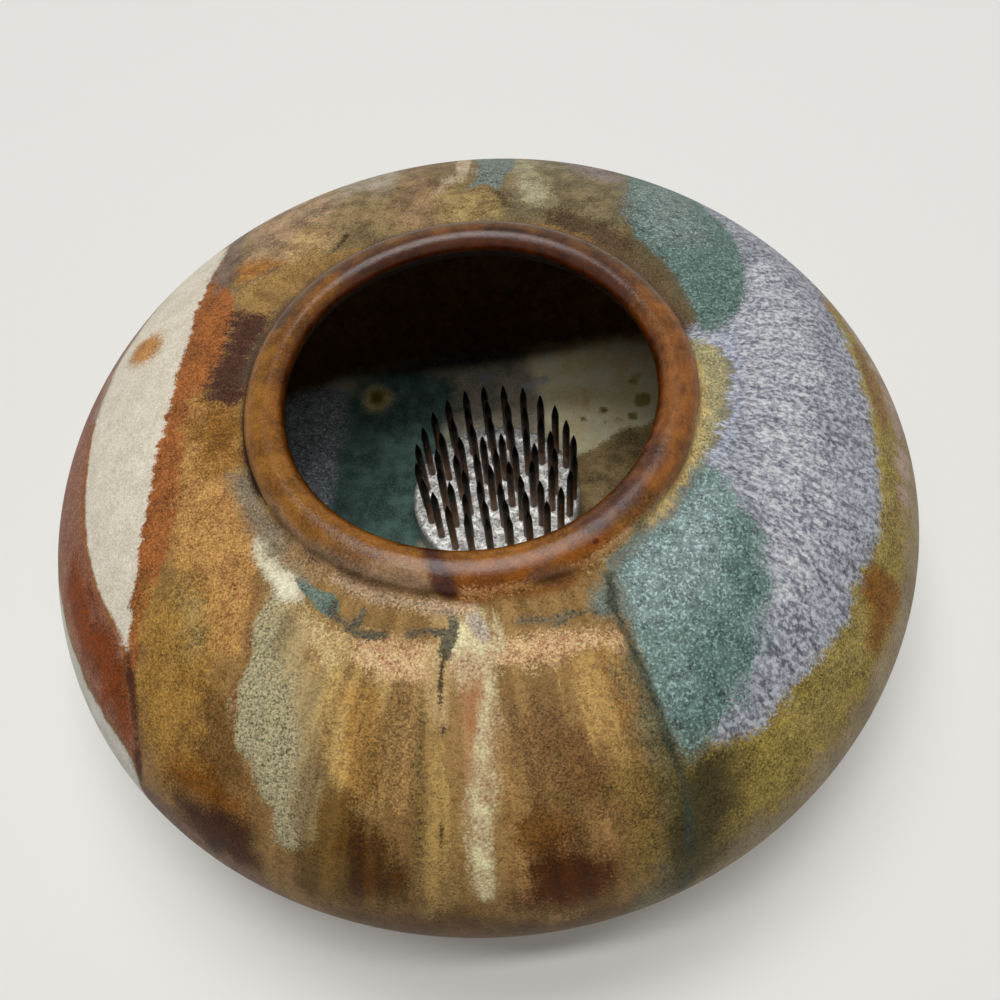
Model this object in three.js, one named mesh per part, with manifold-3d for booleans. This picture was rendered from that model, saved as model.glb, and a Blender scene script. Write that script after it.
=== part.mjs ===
// A flower frog vase: a squat wheel-thrown stoneware vessel with a loose pin frog standing on its floor.
// Millimetres, +Z up. The origin is under the middle of the foot, and the front faces -Y.
import * as THREE from "three";
import { mergeVertices } from "three/addons/utils/BufferGeometryUtils.js";
import Module from "manifold-3d";

// Outside of the vase
const bellyRadius = 76;
const bellyHeight = 34.2; // of the widest ring
const rimHeight = 67.3; // top of the lip
const mouthRadius = 29.1; // narrowest ring of the mouth
const lipCrestInset = 2.5; // from the mouth's narrowest ring out to the top of the lip
const lipWidth = 6.5; // from the mouth's narrowest ring out to the lip's outer side
const lipDrop = 4.4; // from the top of the lip down to the shoulder
const coveWidth = 2.9; // of the hollow round between the lip's outer side and the shoulder
const coveRise = 1.6;

// How full the thrown curves are: the lengths of their handles
const shoulderRun = 19.7; // outwards, and a little down
const shoulderFall = 0.4;
const bellyRise = 14; // up from the widest ring
const bellyDrop = 14.2; // down from the widest ring
const undersideRun = 18; // outwards from the foot, and up
const undersideRise = 5;

// Wall, floor and foot
const wall = 5.5;
const mouthDepth = 2.6; // from the top of the lip down to the mouth's narrowest ring
const throatHeight = 4.2; // of the upright stretch below that
const floorThickness = 6.5;
const floorRadius = 38; // flat part of the floor inside
const floorRun = 14; // handle of the curve from the floor up to the wall
const footRadius = 40;
const footHeight = 3.5;
const footRingWidth = 7;
const footRecess = 3;
const footChamfer = 0.6;

// Pin frog
const frogRadius = 17.5;
const frogBaseHeight = 8.2;
const frogBevel = 0.6;
const frogCentre = new THREE.Vector2(3.2, 8.1); // where it stands on the floor
const pinRadius = 0.75;
const pinRise = 16.5; // above the base
const pinPoint = 5.2; // length of the sharpened end
const pinDepth = 5; // sunk in the base
const ringPitch = 3.7; // between rings of pins
const ringNames = ["middle", "first", "second", "third", "outer"];
const ringTurns = [0, 5, 0, 12, 2]; // degrees, where each ring starts
const castRings = 2; // the innermost rings, poured in one with the base

// Clearances
const restGap = 0.3; // under the frog
const pinGap = 0.3; // round and under a pin in its socket

// Facets
const vaseSides = 56;
const frogSides = 48;
const pinSides = 8;
const longCurveSteps = 9;
const quarterSteps = 4;
const pinPointSteps = 3;

const floorHeight = footRecess + floorThickness;
const crestRadius = mouthRadius + lipCrestInset;
const lipRadius = mouthRadius + lipWidth;
const shoulderHeight = rimHeight - lipDrop;

const wasm = await Module();
wasm.setup();

const glaze = new THREE.MeshStandardMaterial({ color: 0x9c7f5a, roughness: 0.45, metalness: 0 });
const castLead = new THREE.MeshStandardMaterial({ color: 0xb4b4ae, roughness: 0.45, metalness: 0.9 });
const agedBrass = new THREE.MeshStandardMaterial({ color: 0x6a4a2c, roughness: 0.4, metalness: 0.9 });

const point = (radius, height) => new THREE.Vector2(radius, height);

// A body turned about the Z axis from a profile of radius and height.
function turned(profile, sides) {
  return new THREE.LatheGeometry(profile, sides).rotateX(Math.PI / 2);
}

// The points of a run of curves, each joint between two curves given once.
function pointsAlong(curves) {
  const found = [];
  for (const { curve, steps } of curves) {
    found.push(...curve.getPoints(steps).slice(found.length ? 1 : 0));
  }
  return found;
}

// A thrown curve from one point to another, leaving each along its own handle.
function sweep(start, startHandle, end, endHandle, steps) {
  const leave = start.clone().add(startHandle);
  const arrive = end.clone().add(endHandle);
  return { curve: new THREE.CubicBezierCurve(start, leave, arrive, end), steps };
}

// A quarter round from a point where the surface is level to one where it is upright, or back again.
function quarter(start, corner, end) {
  const fullness = 0.55;
  const leave = start.clone().lerp(corner, fullness);
  const arrive = end.clone().lerp(corner, fullness);
  return { curve: new THREE.CubicBezierCurve(start, leave, arrive, end), steps: quarterSteps };
}

// The vase's profile, from under the foot up the outside, over the lip and down the inside to the floor.
function vaseProfile() {
  const footTop = point(footRadius, footHeight);
  const belly = point(bellyRadius, bellyHeight);
  const shoulderEnd = point(lipRadius + coveWidth, shoulderHeight);
  const lipSide = point(lipRadius, shoulderHeight + coveRise);
  const crest = point(crestRadius, rimHeight);
  const narrowest = point(mouthRadius, rimHeight - mouthDepth);
  const throat = point(mouthRadius, narrowest.y - throatHeight);
  const underNeck = point(shoulderEnd.x, shoulderHeight - wall);
  const innerBelly = point(bellyRadius - wall, bellyHeight);
  const floorEdge = point(floorRadius, floorHeight);

  const foot = [
    point(0, footRecess),
    point(footRadius - footRingWidth - footChamfer, footRecess),
    point(footRadius - footRingWidth, 0),
    point(footRadius - footChamfer, 0),
    point(footRadius, footChamfer),
  ];
  const outside = pointsAlong([
    sweep(footTop, point(undersideRun, undersideRise), belly, point(0, -bellyDrop), longCurveSteps),
    sweep(belly, point(0, bellyRise), shoulderEnd, point(shoulderRun, -shoulderFall), longCurveSteps),
    quarter(shoulderEnd, point(lipRadius, shoulderHeight), lipSide),
    quarter(lipSide, point(lipRadius, rimHeight), crest),
    quarter(crest, point(mouthRadius, rimHeight), narrowest),
  ]);
  const inside = pointsAlong([
    quarter(throat, point(mouthRadius, underNeck.y), underNeck),
    sweep(underNeck, point(shoulderRun, -shoulderFall), innerBelly, point(0, bellyRise), longCurveSteps),
    sweep(innerBelly, point(0, -bellyDrop), floorEdge, point(floorRun, 0), longCurveSteps),
  ]);
  return [...foot, ...outside, ...inside, point(0, floorHeight)];
}

// A pin standing on its own lower end: a round shank drawn in to a point.
function pinGeometry() {
  const length = pinDepth - pinGap + pinRise;
  const shoulder = point(pinRadius, length - pinPoint);
  const tip = point(0, length);
  const sharpened = new THREE.QuadraticBezierCurve(shoulder, point(pinRadius, length - pinPoint / 2), tip);
  const profile = [point(0, 0), point(pinRadius, 0), ...sharpened.getPoints(pinPointSteps)];
  return turned(profile, pinSides);
}

// The hole that a pin stands in, from the base's top downwards.
function socketGeometry() {
  const mouth = frogBaseHeight + pinGap;
  const bottom = frogBaseHeight - pinDepth;
  const radius = pinRadius + pinGap;
  return turned([point(0, bottom), point(radius, bottom), point(radius, mouth), point(0, mouth)], pinSides);
}

function frogBaseGeometry() {
  const profile = [
    point(0, 0),
    point(frogRadius - frogBevel, 0),
    point(frogRadius, frogBevel),
    point(frogRadius, frogBaseHeight - frogBevel),
    point(frogRadius - frogBevel, frogBaseHeight),
    point(0, frogBaseHeight),
  ];
  return turned(profile, frogSides);
}

// Every pin's place on the base: one in the middle, then rings of six, twelve and so on.
function pinPlaces() {
  const places = [];
  ringNames.forEach((ringName, ring) => {
    const count = Math.max(1, 6 * ring);
    for (let i = 0; i < count; i++) {
      const angle = THREE.MathUtils.degToRad(ringTurns[ring]) + (i / count) * 2 * Math.PI;
      places.push({
        name: `${ringName}_pin_${String(i + 1).padStart(2, "0")}`,
        cast: ring < castRings,
        x: ring * ringPitch * Math.cos(angle),
        y: ring * ringPitch * Math.sin(angle),
      });
    }
  });
  return places;
}

// A closed geometry as a solid that can be cut and joined.
function solidOf(geometry) {
  const bare = geometry.clone();
  bare.deleteAttribute("normal");
  bare.deleteAttribute("uv");
  const merged = mergeVertices(bare);
  return new wasm.Manifold(
    new wasm.Mesh({
      numProp: 3,
      vertProperties: merged.attributes.position.array,
      triVerts: new Uint32Array(merged.index.array),
    }),
  );
}

// A solid back as a geometry that a mesh can show.
function geometryOf(solid) {
  const { vertProperties, triVerts } = solid.getMesh();
  const geometry = new THREE.BufferGeometry();
  geometry.setAttribute("position", new THREE.BufferAttribute(vertProperties, 3));
  geometry.setIndex(new THREE.BufferAttribute(triVerts, 1));
  geometry.computeVertexNormals();
  return geometry;
}

function namedMesh(name, geometry, material) {
  const mesh = new THREE.Mesh(geometry, material);
  mesh.name = name;
  return mesh;
}

// The frog: the poured base with a socket for each pin, its cast pins, and the set pins in their sockets.
function flowerFrog() {
  const frog = new THREE.Group();
  const pinBottom = frogBaseHeight - pinDepth + pinGap;
  let base = solidOf(frogBaseGeometry());
  for (const place of pinPlaces()) {
    if (place.cast) {
      base = base.add(solidOf(pinGeometry().translate(place.x, place.y, pinBottom)));
      continue;
    }
    base = base.subtract(solidOf(socketGeometry().translate(place.x, place.y, 0)));
    const pin = namedMesh(place.name, pinGeometry(), agedBrass);
    pin.position.set(place.x, place.y, pinBottom);
    frog.add(pin);
  }
  frog.add(namedMesh("frog_base", geometryOf(base), castLead));
  frog.position.set(frogCentre.x, frogCentre.y, floorHeight + restGap);
  return frog;
}

const vase = new THREE.Group();
vase.add(namedMesh("vase_body", turned(vaseProfile(), vaseSides), glaze));
vase.add(flowerFrog());

export default vase;
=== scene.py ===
"""A squat stoneware vase in poured studio glazes, with a loose pin frog standing on its floor.

Metres in the scene. Profiles and glaze outlines are written in millimetres and scaled once, where a mesh is made.
"""
import math
from collections import namedtuple

import bpy
import numpy as np
from mathutils import Matrix, Vector


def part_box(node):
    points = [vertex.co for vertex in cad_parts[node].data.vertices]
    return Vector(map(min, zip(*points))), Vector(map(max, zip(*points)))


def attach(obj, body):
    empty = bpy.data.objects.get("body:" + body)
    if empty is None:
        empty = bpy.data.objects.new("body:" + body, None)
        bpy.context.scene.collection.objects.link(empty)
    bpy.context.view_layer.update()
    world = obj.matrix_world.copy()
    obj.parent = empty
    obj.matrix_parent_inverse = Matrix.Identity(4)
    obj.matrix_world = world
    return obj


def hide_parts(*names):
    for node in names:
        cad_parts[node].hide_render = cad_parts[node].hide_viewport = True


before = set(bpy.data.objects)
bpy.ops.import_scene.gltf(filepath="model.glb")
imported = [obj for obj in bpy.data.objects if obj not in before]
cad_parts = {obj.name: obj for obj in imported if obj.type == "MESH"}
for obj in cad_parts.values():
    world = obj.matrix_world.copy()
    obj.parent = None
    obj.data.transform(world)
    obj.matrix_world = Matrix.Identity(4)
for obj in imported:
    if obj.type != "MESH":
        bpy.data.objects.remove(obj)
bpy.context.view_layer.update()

MM = 0.001

# Vase, in millimetres: the same curves as its solid, turned more finely
MOUTH_RADIUS = 29.1
NARROWEST = (MOUTH_RADIUS, 64.7)
CREST = (31.6, 67.3)
LIP_SIDE = (35.6, 64.5)
SHOULDER_END = (38.5, 62.9)
BELLY = (76.0, 34.2)
FOOT_TOP = (40.0, 3.5)
UNDER_NECK = (38.5, 57.4)
INNER_BELLY = (70.5, 34.2)
FLOOR_EDGE = (38.0, 9.5)
FLOOR_MIDDLE = (0, 9.5)
FOOT = [(0, 3), (16, 3), (32, 3), (32.5, 2.6), (33, 0.4), (33.4, 0), (39.2, 0), (39.8, 0.4), (40, 1.2), FOOT_TOP]

# Handles of the vase's curves
UNDERSIDE_HANDLE = (58, 8.5)
BELLY_HANDLES = (20, 48.2)  # heights, below and above the widest ring
SHOULDER_HANDLE = (58.2, 62.5)
THROAT_HANDLE = (MOUTH_RADIUS, 63.2)
UNDER_NECK_HANDLE = (33.5, 57.6)
INNER_SHOULDER_HANDLE = (58.2, 57.0)
FLOOR_HANDLE = (52, 9.5)
ROUND_FULLNESS = 0.55  # of a quarter round

# How finely the vase is made
VASE_SIDES = 448
OUTSIDE_STEP = 0.75  # between rings
INSIDE_STEP = 2.2
LONG_STEPS = 60  # of a long curve
SHORT_STEPS = 24

# The hand's slow waver: how often each wave comes round, its height and where it starts
WAVES = ((2, 0.2, 0.6), (5, 0.1, 1.9))
WAVER_START = 8  # height above which it sets in
WAVER_RISE = 20  # over which it grows
STEADY_RADIUS = 25  # of the middle of the floor, which keeps still

# On the glaze map
LIP_REACH = 38.8  # the ring where the glossy lip starts
FLOW_RADIUS = 45  # of the round that the outside's runs are spread on
INSIDE_FLOW_RADIUS = 30

# Pin frog, in millimetres
FROG_TOP = 18.0  # of the poured base
RING_NAMES = ("middle", "first", "second", "third", "outer")
RING_TURNS = (0, 5, 0, 12, 2)  # degrees, where each ring of pins starts
RING_PITCH = 3.7
PIN_RADIUS = 0.73
PIN_WAIST = 0.98  # share of the radius, a third of the way up
PIN_POINT = 4.2
PIN_SUNK = 1.5
PIN_SIDES = 14
PIN_LEAN = math.tan(math.radians(0.8))
LEAN_SPREAD = 0.5
LEAN_SEED = 7
POINT_STEPS = 10
POINT_HANDLES = ((1.0, 0.7), (0.5, 0.25))  # shares of the radius, and of the point's length down from its tip
BASE_INSET = 0.7  # the pins stand a little to the right of the casting's middle
BASE_BEVEL = 0.6
BASE_ROUND = 0.9
BASE_ROUND_STEPS = 5
BASE_SIDES = 200
FACE_RINGS = 62
FACE_DEPTH = 0.01  # how far under the top a place still counts as on it
COLLAR = (0.14, 0.9, 0.45)  # the metal drawn up round a pin: its rise, distance and width
DIP = (0.05, 2.0, 0.5)  # the sunken metal round that

# Light and camera: three long lamps overhead, each with its size, place and power
LAMPS = {
    "front_strip": ((1.7, 0.06), (-0.03, -0.447, 1.5), 5.0),
    "top_bar": ((1.1, 0.112), (-0.02, -0.089, 1.5), 8.6),
    "rear_panel": ((1.1, 0.5), (-0.02, 0.38, 1.5), 12.2),
}
FILL = 0.03
BACKDROP = 0.55  # what the world shows behind the object
WORLD_COLOUR = (1.0, 0.99, 0.97, 1.0)
FLOOR_HALF = 0.9  # metres
CAMERA_PLACE = Vector((0.0, -0.09507, 0.19075))
CAMERA_FALL = math.radians(56.776)  # below level
CAMERA_PAN = math.radians(-0.862)
CAMERA_TILT = math.radians(-2.765)
CAMERA_ROLL = math.radians(7.704)
CAMERA_LENS = 36  # as wide as the sensor
CAMERA_NEAR = 0.01


def linear(red, green, blue):
    """A display colour of 0 to 255 as the linear colour that a shader takes."""
    scaled = np.array((red, green, blue)) / 255
    lit = np.where(scaled <= 0.04045, scaled / 12.92, ((scaled + 0.055) / 1.055) ** 2.4)
    return (*lit.tolist(), 1.0)


# Glaze map: a place on the outside lies at its own angle, as far from the middle as the mouth's narrowest ring plus
# the length along the wall from that ring. A pour is an area of one glaze on it: a list of points is a closed outline.
Pour = namedtuple("Pour", "name edge dark light shape grain", defaults=("speckle",))
Line = namedtuple("Line", "points half_width")
Ring = namedtuple("Ring", "inner outer")


def arc(radius, start, end, steps=10):
    """Points along a circle round the mouth, angles in degrees."""
    turn = np.radians(np.linspace(start, end, steps))
    return [(radius * math.cos(t), radius * math.sin(t)) for t in turn]


# How a pour ends: softness, then how far its edge wanders, frays and runs, in millimetres
CRISP = (0.3, 0.4, 0.35, 0.0)
STIPPLED = (0.35, 0.4, 0.9, 0.0)
INKED = (0.22, 0.3, 0.45, 0.0)
SOFT = (1.4, 0.5, 0.7, 0.8)
MELTED = (1.3, 1.2, 1.8, 0.7)
RUN = (0.9, 0.6, 1.2, 2.0)
CLOUDY = (2.8, 2.4, 2.6, 1.0)
SPOT = (0.45, 0.2, 0.4, 0.0)
BLURRED = (1.6, 0.9, 0.25, 0.0)
THIN = (0.25, 0.3, 0.6, 0.0)
HAZY = (2.2, 1.2, 0.4, 0.4)
EDGE_SHIFT = 4  # a noise keeps near its middle, so it is stretched to reach that far


def ink(name, half_width, points):
    """A thin dark brushed line."""
    return Pour(name, THIN, (34, 34, 27), (122, 113, 90), Line(points, half_width))


def spot(name, half_width, dark, light, points):
    """A small round spot on the floor inside."""
    return Pour(name, SPOT, dark, light, Line(points, half_width), "cloud")


OUTSIDE_GROUND = ((112, 82, 44), (172, 136, 82), "streak")

# Earth glazes, which the kiln has peppered with iron
EARTH_POURS = [
    # Back
    Pour("back_ground", CRISP, (86, 70, 42), (152, 130, 90), [(-44, 26), (-36, 34), (-20, 38), (0, 38), (20, 37),
        (33, 26), (44, 8), (50, 40), (46, 90), (0, 120), (-46, 90)], "cloud"),
    Pour("back_brown", CLOUDY, (71, 58, 42), (209, 174, 133), [(-43, 60), (-42, 48), (-41, 36), (-36, 33), (-28, 37),
        (-22, 41), (-21, 50), (-22, 62), (-24, 84), (-27, 100), (-33, 110), (-38, 96), (-45, 102), (-50, 90)], "cloud"),
    Pour("back_orange", (1.8, 1.2, 1.6, 0.6), (106, 50, 20), (212, 155, 76), [(-43.5, 40), (-36.1, 39.4), (-30.7, 37.4),
        (-35, 35), (-40, 34)], "cloud"),
    Pour("back_moss", CLOUDY, (71, 54, 28), (208, 164, 95), [(-40, 33), (-33, 36), (-28.6, 38.6), (-22.9, 39.6),
        (-26.8, 34.6), (-35.5, 30.6), (-40, 28.5)]),
    Pour("back_tan", CLOUDY, (122, 106, 74), (198, 184, 162), [(-21, 64), (-20, 52), (-18, 45), (-13, 47), (-10, 54),
        (-8, 64), (-9, 84), (-11, 98), (-16, 112), (-20, 100), (-23, 88)], "cloud"),
    Pour("back_buff", CLOUDY, (113, 72, 41), (221, 191, 131), [(-31, 40), (-26, 39), (-22, 42), (-24, 46), (-30, 45)],
        "cloud"),
    Pour("back_umber", MELTED, (60, 47, 32), (180, 147, 107), [(-13, 46), (-9, 41), (-1, 41), (0, 47), (-1, 56),
        (-2, 66), (-6, 68), (-9, 56)], "cloud"),
    Pour("back_dusk", CLOUDY, (58, 48, 31), (176, 149, 105), [(-22.6, 50), (-17, 58), (-11, 54), (-9.1, 46.4),
        (-14.5, 41), (-20, 40.4), (-22.6, 45)], "cloud"),
    Pour("back_pale", RUN, (141, 115, 76), (221, 203, 173), Line([(0, 51), (3.5, 57), (5.5, 64), (6, 80), (5, 92)],
        1.4), "cloud"),
    Pour("back_gold", MELTED, (79, 57, 34), (197, 171, 111), [(-1.5, 50), (3, 53), (8, 52.5), (11, 46.5), (10.5, 41.5),
        (2, 41.5), (-0.5, 45)], "cloud"),
    Pour("back_olive", MELTED, (53, 47, 32), (162, 145, 107), [(11.5, 42), (16, 40), (24, 37), (31, 33), (35, 36),
        (38, 46), (40, 58), (44, 84), (50, 104), (38, 116), (26, 104), (18, 110), (15, 94), (16, 62), (14, 55),
        (12, 49)], "cloud"),
    Pour("back_yellow", CLOUDY, (86, 67, 49), (198, 191, 152), [(14.5, 47), (17, 44), (20, 46), (20, 62), (22, 84),
        (24, 100), (20, 112), (17, 96), (15, 84), (15, 60)], "cloud"),
    Pour("back_pink", CLOUDY, (55, 50, 45), (168, 153, 141), [(28, 54), (33, 52), (37, 57), (40, 84), (44, 100),
        (36, 108), (30, 98), (26, 84)], "cloud"),
    Pour("back_right", MELTED, (58, 46, 26), (122, 104, 74), [(29, 28), (33, 36), (36, 46), (40, 40), (42, 28),
        (43, 18), (45, 8), (44, 3), (38, 3), (36, 13), (33, 21)]),
    # Left
    Pour("rust_left", CRISP, (94, 42, 29), (175, 127, 100), [(-62, 72), (-50, 56), (-44, 50), (-46, 30), (-50, 0),
        (-56, -30), (-60, -37), (-61, -46), (-63.5, -53.5), (-66, -52.5), (-65.5, -50), (-68.5, -45), (-71.5, -40),
        (-74, -35), (-76, -30), (-78, -25), (-80, -20), (-83, -10), (-86, 2), (-88, 20), (-84, 42), (-75, 60)]),
    Pour("rust_low_left", CLOUDY, (52, 19, 0), (159, 73, 5), [(-73, -12), (-68, -22), (-64, -30), (-60.5, -36),
        (-62, -50), (-66, -46), (-72, -34), (-76, -22)]),
    Pour("rust_right", STIPPLED, (67, 38, 16), (199, 122, 65), [(-45, 56), (-43.5, 46), (-43, 36), (-41, 28), (-42, 21),
        (-44, 12), (-48, 4), (-49, -8), (-50, -18), (-53.5, -26), (-56.5, -31), (-57.5, -36), (-60, -38), (-62, -34),
        (-60, -20), (-58, 0), (-54, 20), (-50, 40)]),
    # Front left
    Pour("ochre_left", (1.4, 0.7, 1.4, 1.4), (108, 57, 30), (223, 173, 100), [(-48.5, 8), (-45, 7), (-41, 2), (-40, -8),
        (-38.5, -18), (-37, -24), (-37.5, -32), (-40, -40), (-46, -38), (-50.5, -24), (-49.5, -8)]),
    Pour("ochre_shade", CLOUDY, (68, 35, 10), (165, 116, 48), [(-46.3, 6.8), (-41.2, 4.7), (-40, -1.9), (-40.6, -7.6),
        (-45.7, -5.2), (-46.9, 1.7)]),
    Pour("olive_left", CLOUDY, (75, 50, 20), (204, 155, 75), [(-56, -31), (-51, -25), (-46, -28), (-44, -38),
        (-43, -48), (-47, -57), (-56, -58), (-61, -52), (-60, -42), (-58, -36)]),
    Pour("olive_veil", CLOUDY, (69, 56, 31), (205, 169, 103), Line([(-50, -28), (-48, -33), (-47.5, -37)], 1.6)),
    Pour("brown_left", CLOUDY, (46, 32, 13), (144, 106, 56), [(-46, -44), (-42.5, -46), (-41, -52), (-41.5, -59),
        (-44.5, -61), (-48.5, -58), (-48, -50)]),
    Pour("orange_low", (2.2, 1.6, 2, 0.8), (50, 27, 1), (154, 93, 14), [(-56, -53), (-50, -54.5), (-45.5, -58),
        (-43.5, -61.5), (-46, -63.4), (-51, -61), (-56.5, -57)]),
    Pour("grey_low_left", MELTED, (81, 60, 43), (152, 116, 89), [(-66, -55), (-61, -59), (-56, -65), (-50, -70),
        (-46, -76), (-40, -92), (-60, -100), (-90, -80), (-74, -58)], "cloud"),
    Pour("dark_low_left", (2.8, 1.8, 1.8, 0.8), (23, 8, 1), (84, 44, 13), [(-57, -58.5), (-52, -60), (-47.5, -62.4),
        (-44.6, -64.6), (-43.5, -68.5), (-46, -73), (-52, -71), (-56.5, -64.5)]),
    # Front
    Pour("front_tan", RUN, (97, 63, 35), (225, 188, 115), [(-30, -44), (-22, -43), (-13, -45), (-12, -52), (-13, -58),
        (-18, -62), (-24, -66), (-29, -62), (-30, -52)], "streak"),
    Pour("cream_tail", MELTED, (142, 100, 51), (238, 217, 157), [(-33, -33), (-30, -34.5), (-27, -38), (-24.5, -40.5),
        (-23, -43), (-26, -45), (-30, -41), (-33, -36)]),
    Pour("front_orange", RUN, (78, 57, 27), (227, 173, 94), [(-24, -48.5), (-20.4, -48), (-18.5, -51), (-19.5, -58),
        (-23, -64), (-27, -60)], "streak"),
    # Partly a paler glaze at the shoulder's edge, partly a painted sheen where the lamps catch the front shoulder
    Pour("front_neck_tint_and_sheen", MELTED, (150, 75, 53), (246, 220, 161), [(-21, -42), (-12, -45), (0, -45), (12, -45), (18, -46),
        (17, -50), (8, -49), (-2, -50), (-12, -49), (-20, -48)]),
    Pour("front_brown_left", RUN, (81, 61, 34), (236, 184, 113), [(-17.6, -49.5), (-14, -51), (-12.6, -57),
        (-13.6, -62.5), (-16.5, -65.5), (-20, -64), (-18.2, -57)], "streak"),
    Pour("front_umber", (1.8, 0.9, 1.5, 1.4), (46, 32, 11), (142, 108, 52), [(-30.5, -57), (-26.5, -61.9), (-25, -66),
        (-21, -72), (-21, -80), (-32.8, -81), (-39, -76), (-35, -66)], "streak"),
    Pour("umber_heart", (2.6, 1.8, 2, 2), (34, 17, 1), (111, 67, 14), [(-28.5, -71), (-25.5, -67), (-23.4, -70),
        (-20.8, -74), (-21.6, -79), (-26.8, -79.8), (-29.4, -76.3)], "streak"),
    Pour("front_gold", RUN, (68, 54, 28), (201, 164, 97), [(-13, -54), (-10.8, -58), (-10.2, -66), (-10.8, -73),
        (-13, -82), (-17, -94), (-23, -92), (-19, -81), (-17, -71.8), (-15.4, -64)], "streak"),
    Pour("front_brown", (1.8, 1, 1.8, 1.2), (65, 49, 27), (194, 150, 92), [(-2.4, -55), (4, -54), (10.4, -57.5),
        (13.4, -64), (14.4, -73), (15, -86), (10, -92), (-2, -90), (-5, -82), (-4.3, -75), (-3.4, -66)], "streak"),
    Pour("brown_dusk", CLOUDY, (51, 35, 17), (156, 114, 67), [(4, -58), (10.4, -58.6), (13, -64), (13.4, -71),
        (9.6, -70), (5, -65.6)]),
    Pour("brown_ember", CLOUDY, (46, 28, 8), (143, 97, 43), [(-3, -70), (2, -68), (6, -72), (5, -77), (-2, -77)]),
    Pour("brown_heart", (3.4, 2.4, 2.6, 1.4), (30, 12, 1), (102, 53, 8), [(-3, -80), (1, -75), (8, -74), (13, -76.5),
        (14, -81), (10, -85), (2, -86), (-3, -84)], "streak"),
    Pour("front_low", CLOUDY, (68, 48, 20), (123, 92, 50), [(-36, -81), (-27, -81), (-18.4, -82), (-8, -85), (2, -87),
        (14.6, -86), (20, -90), (14, -104), (-14, -104), (-40, -92)], "cloud"),
    Pour("front_ochre", RUN, (115, 72, 31), (210, 172, 103), [(9, -49), (16.5, -48), (18, -56), (18, -64), (15, -70),
        (12.5, -63), (10, -57)], "streak"),
    Pour("front_olive", CLOUDY, (47, 43, 29), (145, 135, 99), [(17, -51), (20, -50), (24, -56), (27, -64), (28, -72),
        (27, -94), (16, -96), (16, -80), (17, -66)]),
    Pour("front_honey", CLOUDY, (56, 43, 19), (170, 136, 74), [(12.5, -67.3), (16.4, -62), (19.7, -67), (21, -75),
        (20.4, -82), (16.4, -84.7), (14.3, -81.7), (13.4, -73.3)]),
    # Right
    Pour("olive_right", CRISP, (65, 56, 24), (194, 169, 86), [(73, 22), (70, 12), (69, 4), (67, -4), (66, -14),
        (63, -24), (58, -34), (52, -42), (44, -50), (34, -55), (26, -58), (24, -64), (25, -78), (27, -104), (60, -112),
        (100, -70), (110, -20), (100, 30), (84, 34)]),
    Pour("olive_grey", CLOUDY, (66, 57, 30), (196, 172, 100), [(60, -30), (66, -26), (70, -16), (72, -4), (74, -14),
        (72, -28), (66, -40), (56, -54), (48, -62), (42, -62), (50, -52), (57, -42)]),
    Pour("olive_rim", CLOUDY, (127, 111, 78), (171, 153, 120), [(74, 24), (76, 10), (78, -6), (76, -22), (72, -36),
        (64, -52), (54, -64), (40, -76), (30, -80), (28, -104), (60, -112), (100, -70), (110, -20), (100, 30),
        (84, 36)], "streak"),
    Pour("rust_right_rim", MELTED, (60, 45, 24), (181, 140, 85), [(71.5, 8), (75, 8), (77, 0), (75.5, -8), (72, -10),
        (70.8, -2)]),
    Pour("rust_patch", MELTED, (55, 35, 8), (167, 114, 43), [(60.4, -37.8), (63.8, -36.9), (68, -38.8), (70.4, -42.7),
        (66, -47.4), (62.5, -51.4), (60, -48.6), (60.6, -44.2), (59.4, -41.2)]),
    Pour("rim_rust", RUN, (128, 105, 81), (193, 169, 152), [(73, 22), (76, 12), (77, 0), (76, -12), (73, -22),
        (76, -24), (80, -12), (82, 2), (80, 16), (77, 26)], "streak"),
    Pour("rim_yellow", (0.6, 0.5, 1.6, 0.6), (146, 130, 64), (194, 180, 116), Line([(71.8, 16), (71, 4), (70, -8),
        (67.6, -20), (65, -30)], 0.7)),
]

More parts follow.
